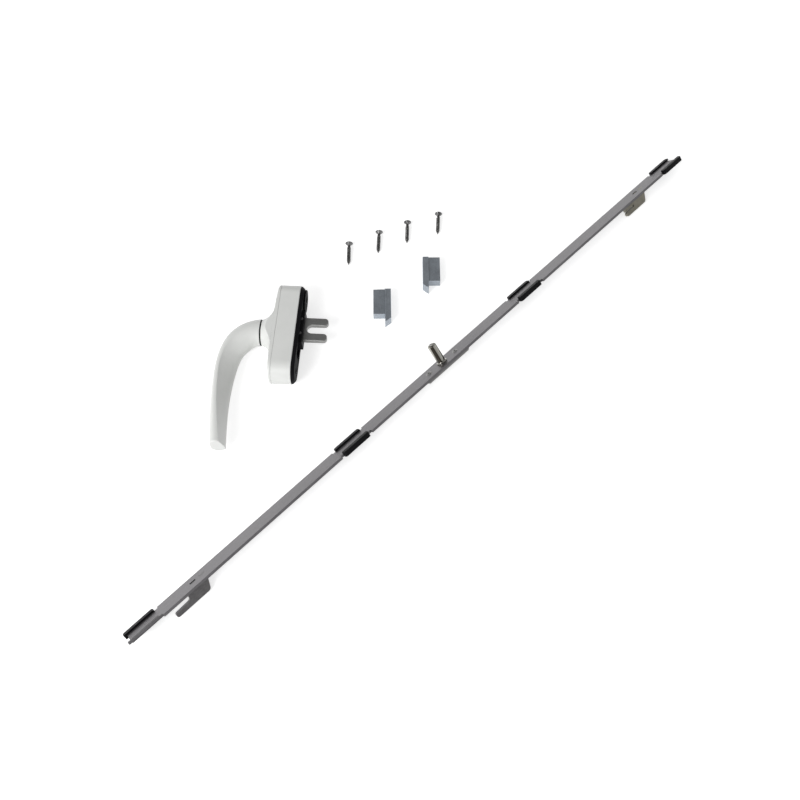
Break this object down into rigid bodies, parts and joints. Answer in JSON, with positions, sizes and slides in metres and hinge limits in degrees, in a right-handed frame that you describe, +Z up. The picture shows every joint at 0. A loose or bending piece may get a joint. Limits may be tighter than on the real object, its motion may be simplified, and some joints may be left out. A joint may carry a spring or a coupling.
{
  "type": "multipoint sliding door lock set",
  "caption": "Laid-out lock set for a sliding door: lever handle with geared fork, long drive rod with hooks, drive pin and guide clips, hook keepers and screws.",
  "frame": {"origin": "on the table, under the middle of the set's box", "axes": "+Z up; +X the way the handle's mounting face looks; +Y along the handle's base, away from the lever's tip"},
  "size_m": [0.4693, 0.5192, 0.028],
  "materials": {
    "white_coat": "satin powder coat",
    "black_plastic": "moulded, fine grain",
    "pale_nylon": "moulded",
    "bar_steel": "rolled, zinc plated, dull",
    "fork_steel": "stamped, dark zinc",
    "bright_steel": "turned and polished",
    "cast_zinc": "die cast, satin",
    "bright_zinc": "bright zinc plate"
  },
  "bodies": {
    "handle_base": {"base_housing": "white_coat", "front_cover": "white_coat", "back_plate": "black_plastic", "spindle_bush": "pale_nylon", "neck_washer": "black_plastic", "keeper_left": "cast_zinc", "keeper_right": "cast_zinc", "fixing_screws": "bright_zinc"},
    "lever": {"lever": "white_coat", "spindle": "bar_steel", "retaining_ring": "bar_steel", "grub_screw": "bar_steel", "pinion": "bar_steel"},
    "fork": {"rack_slider": "fork_steel", "drive_fork": "fork_steel", "fork_rivets": "bar_steel"},
    "drive_rod": {"drive_bar": "bar_steel", "drive_pin": "bright_steel", "pin_plate": "fork_steel", "pin_plate_rivets": "fork_steel", "guide_clip_1": "black_plastic", "guide_clip_2": "black_plastic", "guide_clip_3": "black_plastic", "guide_clip_4": "black_plastic", "end_shoe": "bar_steel", "hook_near": "fork_steel", "hook_far": "fork_steel"}
  },
  "joints": [
    {"name": "lever_turn", "type": "hinge", "parent": "handle_base", "child": "lever", "pos_m": [-0.1631, 0.0208, 0.014], "axis": [-1, 0, 0], "range_deg": [0, 90]},
    {"name": "fork_slide", "type": "slide", "parent": "handle_base", "child": "fork", "axis": [0, -1, 0], "range_m": [0, 0.0126]},
    {"name": "rod_slide", "type": "slide", "parent": "handle_base", "child": "drive_rod", "axis": [-0.6678, -0.7443, 0], "range_m": [0, 0.0126]}
  ],
  "couplings": [
    {"joint": "fork_slide", "follows": "lever_turn", "m_per_rad": 0.008},
    {"joint": "rod_slide", "follows": "lever_turn", "m_per_rad": 0.008}
  ]
}
